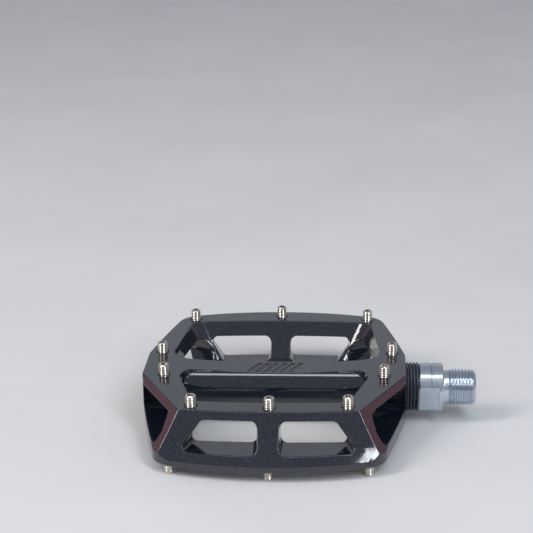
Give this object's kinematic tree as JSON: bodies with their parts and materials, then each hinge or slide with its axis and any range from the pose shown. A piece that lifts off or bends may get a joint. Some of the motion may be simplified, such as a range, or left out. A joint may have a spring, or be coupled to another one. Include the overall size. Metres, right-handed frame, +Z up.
{
  "type": "flat pedal",
  "caption": "Flat bicycle pedal: a wide open metal platform with traction pins, turning on a spindle with a crank thread and wrench flats.",
  "frame": {"origin": "on the spindle axis at the inboard end of the full crank thread", "axes": "+X along the spindle out of the thread end into the crank, +Y towards the rear of the platform as it lies, +Z up"},
  "size_m": [0.1279, 0.1166, 0.0264],
  "materials": {
    "black_anodised": "gloss black, polished under the finish",
    "nickel_steel": "bright nickel plate",
    "zinc_steel": "satin zinc plate",
    "bearing_steel": "ground",
    "cage_polymer": "moulded",
    "bush_polymer": "moulded",
    "seal_rubber": "satin black rubber",
    "cap_metal": "gloss black",
    "badge_metal": "gold-green metal"
  },
  "bodies": {
    "spindle": {"spindle": "zinc_steel", "bearing_outboard_inner_race": "bearing_steel", "bearing_inboard_inner_race": "bearing_steel", "race_spacer": "bearing_steel", "lock_washer": "bearing_steel", "lock_nut": "zinc_steel"},
    "platform": {"pedal_body": "black_anodised", "pin_upper_01": "nickel_steel", "pin_upper_02": "nickel_steel", "pin_upper_03": "nickel_steel", "pin_upper_04": "nickel_steel", "pin_upper_05": "nickel_steel", "pin_upper_06": "nickel_steel", "pin_upper_07": "nickel_steel", "pin_upper_08": "nickel_steel", "pin_upper_09": "nickel_steel", "pin_upper_10": "nickel_steel", "pin_lower_01": "nickel_steel", "pin_lower_02": "nickel_steel", "pin_lower_03": "nickel_steel", "pin_lower_04": "nickel_steel", "pin_lower_05": "nickel_steel", "pin_lower_06": "nickel_steel", "pin_lower_07": "nickel_steel", "pin_lower_08": "nickel_steel", "pin_lower_09": "nickel_steel", "pin_lower_10": "nickel_steel", "inboard_bush": "bush_polymer", "rubber_seal": "seal_rubber", "end_cap": "cap_metal", "cap_badge": "badge_metal", "cap_ring": "seal_rubber", "bearing_outboard_outer_race": "bearing_steel", "bearing_outboard_shield_outboard": "seal_rubber", "bearing_outboard_shield_inboard": "seal_rubber", "bearing_inboard_outer_race": "bearing_steel", "bearing_inboard_shield_outboard": "seal_rubber", "bearing_inboard_shield_inboard": "seal_rubber"},
    "outboard_ball_set": {"bearing_outboard_balls": "bearing_steel", "bearing_outboard_cage": "cage_polymer"},
    "inboard_ball_set": {"bearing_inboard_balls": "bearing_steel", "bearing_inboard_cage": "cage_polymer"}
  },
  "joints": [
    {"name": "platform_spin", "type": "hinge", "parent": "spindle", "child": "platform", "pos_m": [0, 0, 0], "axis": [1, 0, 0], "continuous": true},
    {"name": "outboard_balls_roll", "type": "hinge", "parent": "spindle", "child": "outboard_ball_set", "pos_m": [-0.10814, 0, 0], "axis": [1, 0, 0], "continuous": true},
    {"name": "inboard_balls_roll", "type": "hinge", "parent": "spindle", "child": "inboard_ball_set", "pos_m": [-0.10214, 0, 0], "axis": [1, 0, 0], "continuous": true}
  ],
  "couplings": [
    {"joint": "outboard_balls_roll", "follows": "platform_spin", "ratio": 0.59091},
    {"joint": "inboard_balls_roll", "follows": "platform_spin", "ratio": 0.59091}
  ]
}
